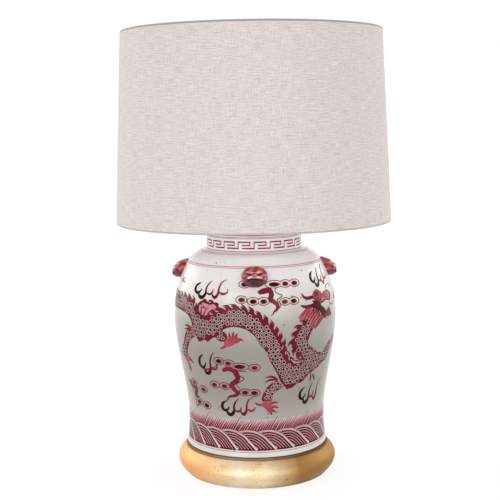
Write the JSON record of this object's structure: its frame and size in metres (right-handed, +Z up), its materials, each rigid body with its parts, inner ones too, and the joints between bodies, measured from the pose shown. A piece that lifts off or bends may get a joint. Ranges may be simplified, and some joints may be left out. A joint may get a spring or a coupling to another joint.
{
  "type": "table lamp",
  "caption": "Table lamp with a waisted ceramic jar body on a turned gilded base, lion masks, harp and a tapered linen drum shade.",
  "frame": {"origin": "centre of the underside, on the table top", "axes": "+Z up along the lamp's axis, -Y to the front, +X to the viewer's right"},
  "size_m": [0.4062, 0.4062, 0.6719],
  "materials": {
    "gilded_wood": "worn gold leaf on turned wood",
    "felt": "pressed felt",
    "black_plastic": "moulded",
    "plated_steel": "zinc plated",
    "gasket_rubber": "sheet",
    "jar_glaze": "glossy white glaze with painted red decoration",
    "mask_glaze": "glossy glaze, pink and dark red",
    "lamp_brass": "lacquered",
    "white_styrene": "smooth sheet",
    "linen": "plain linen weave",
    "fibre_card": "pressed fibre",
    "moulded_insulator": "moulded phenolic",
    "thread_aluminium": "rolled",
    "black_glass": "glossy",
    "frosted_glass": "frosted"
  },
  "bodies": {
    "lamp_body": {"gilded_base": "gilded_wood", "felt_pad": "felt", "cord_bushing": "black_plastic", "base_washer": "plated_steel", "base_locknut": "plated_steel", "threaded_rod": "plated_steel", "foot_gasket": "gasket_rubber", "jar_body": "jar_glaze", "mouth_gasket": "gasket_rubber", "vase_cap": "lamp_brass", "check_ring": "lamp_brass", "neck_tube": "lamp_brass", "harp_saddle": "lamp_brass", "holder_cap": "lamp_brass", "holder_shell": "lamp_brass", "insulating_sleeve": "fibre_card", "holder_insulator": "moulded_insulator", "terminal_screws": "plated_steel", "screw_shell": "thread_aluminium", "centre_contact": "lamp_brass", "lion_mask_front": "mask_glaze", "lion_mask_right": "mask_glaze", "lion_mask_back": "mask_glaze", "lion_mask_left": "mask_glaze"},
    "switch": {"switch_shaft": "lamp_brass", "switch_knob": "black_plastic"},
    "bulb": {"bulb_tip": "thread_aluminium", "bulb_collar": "black_glass", "bulb_cap": "thread_aluminium", "bulb_glass": "frosted_glass"},
    "harp": {"harp": "lamp_brass"},
    "ferrule_left": {"harp_ferrule_left": "lamp_brass"},
    "ferrule_right": {"harp_ferrule_right": "lamp_brass"},
    "stud": {"harp_stud": "lamp_brass"},
    "shade": {"fitter_washer": "plated_steel", "spider_arm_1": "plated_steel", "spider_arm_2": "plated_steel", "spider_arm_3": "plated_steel", "shade_top_ring": "plated_steel", "shade_bottom_ring": "plated_steel", "shade_liner": "white_styrene", "shade_cover": "linen"},
    "finial": {"finial_collar": "lamp_brass", "finial_ball": "lamp_brass"}
  },
  "joints": [
    {"name": "switch_turn", "type": "hinge", "parent": "lamp_body", "child": "switch", "pos_m": [0, -0.02, 0.4187], "axis": [0, -1, 0], "continuous": true},
    {"name": "bulb_unscrew", "type": "slide", "parent": "lamp_body", "child": "bulb", "axis": [0, 0, 1], "range_m": [0, 0.028]},
    {"name": "harp_lift", "type": "slide", "parent": "lamp_body", "child": "harp", "axis": [0, 0, 1], "range_m": [0, 0.02]},
    {"name": "ferrule_left_lift", "type": "slide", "parent": "harp", "child": "ferrule_left", "axis": [0, 0, 1], "range_m": [0, 0.012]},
    {"name": "ferrule_right_lift", "type": "slide", "parent": "harp", "child": "ferrule_right", "axis": [0, 0, 1], "range_m": [0, 0.012]},
    {"name": "shade_turn", "type": "hinge", "parent": "harp", "child": "stud", "pos_m": [0, 0, 0.643], "axis": [0, 0, 1], "continuous": true},
    {"name": "shade_lift", "type": "slide", "parent": "stud", "child": "shade", "axis": [0, 0, 1], "range_m": [0, 0.28]},
    {"name": "finial_unscrew", "type": "slide", "parent": "shade", "child": "finial", "axis": [0, 0, 1], "range_m": [0, 0.0125]}
  ]
}
